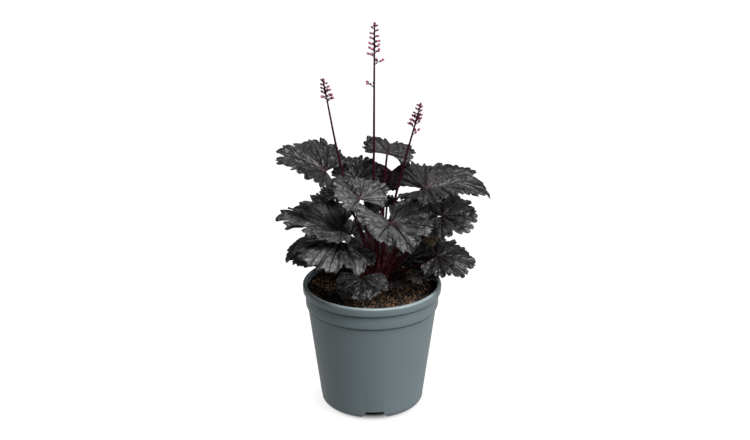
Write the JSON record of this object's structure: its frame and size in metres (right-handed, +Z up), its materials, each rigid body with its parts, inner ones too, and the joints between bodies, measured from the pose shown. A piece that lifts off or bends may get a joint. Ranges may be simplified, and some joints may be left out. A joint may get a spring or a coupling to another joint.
{
  "type": "potted heuchera plant",
  "caption": "Dark-leaved heuchera (coral bells) in a round plastic nursery pot: ruffled, lobed blades on burgundy stalks with slender stems of small pink flower buds.",
  "frame": {"origin": "centre of the flat disc of the pot's floor, on the surface that the pot stands on", "axes": "+Z up along the pot's axis; -Y towards the plant's front; +X to the right as seen from the front"},
  "size_m": [0.212, 0.1779, 0.3958],
  "materials": {
    "pot_plastic": "moulded blue-grey plastic with a slight sheen",
    "potting_soil": "moist crumbly potting mix with fibres",
    "crown_bark": "woody crown covered with old stalk bases",
    "leaf_stalk": "burgundy, slightly glossy and finely hairy",
    "leaf_blade": "charcoal black with a pewter sheen above, maroon below",
    "flower": "burgundy stem with dusty pink buds"
  },
  "bodies": {
    "root": {"pot": "pot_plastic", "soil": "potting_soil", "crown": "crown_bark", "leaf_01_stalk": "leaf_stalk", "leaf_01_blade": "leaf_blade", "leaf_02_stalk": "leaf_stalk", "leaf_02_blade": "leaf_blade", "leaf_03_stalk": "leaf_stalk", "leaf_03_blade": "leaf_blade", "leaf_04_stalk": "leaf_stalk", "leaf_04_blade": "leaf_blade", "leaf_05_stalk": "leaf_stalk", "leaf_05_blade": "leaf_blade", "leaf_06_stalk": "leaf_stalk", "leaf_06_blade": "leaf_blade", "leaf_07_stalk": "leaf_stalk", "leaf_07_blade": "leaf_blade", "leaf_08_stalk": "leaf_stalk", "leaf_08_blade": "leaf_blade", "leaf_09_stalk": "leaf_stalk", "leaf_09_blade": "leaf_blade", "leaf_10_stalk": "leaf_stalk", "leaf_10_blade": "leaf_blade", "leaf_11_stalk": "leaf_stalk", "leaf_11_blade": "leaf_blade", "leaf_12_stalk": "leaf_stalk", "leaf_12_blade": "leaf_blade", "leaf_13_stalk": "leaf_stalk", "leaf_13_blade": "leaf_blade", "leaf_14_stalk": "leaf_stalk", "leaf_14_blade": "leaf_blade", "leaf_15_stalk": "leaf_stalk", "leaf_15_blade": "leaf_blade", "leaf_16_stalk": "leaf_stalk", "leaf_16_blade": "leaf_blade", "leaf_17_stalk": "leaf_stalk", "leaf_17_blade": "leaf_blade", "leaf_18_stalk": "leaf_stalk", "leaf_18_blade": "leaf_blade", "leaf_19_stalk": "leaf_stalk", "leaf_19_blade": "leaf_blade", "leaf_20_stalk": "leaf_stalk", "leaf_20_blade": "leaf_blade", "leaf_21_stalk": "leaf_stalk", "leaf_21_blade": "leaf_blade", "leaf_22_stalk": "leaf_stalk", "leaf_22_blade": "leaf_blade", "leaf_23_stalk": "leaf_stalk", "leaf_23_blade": "leaf_blade", "leaf_24_stalk": "leaf_stalk", "leaf_24_blade": "leaf_blade", "leaf_25_stalk": "leaf_stalk", "leaf_25_blade": "leaf_blade", "flower_stem_left": "flower", "flower_stem_centre": "flower", "flower_stem_right": "flower"}
  },
  "joints": []
}
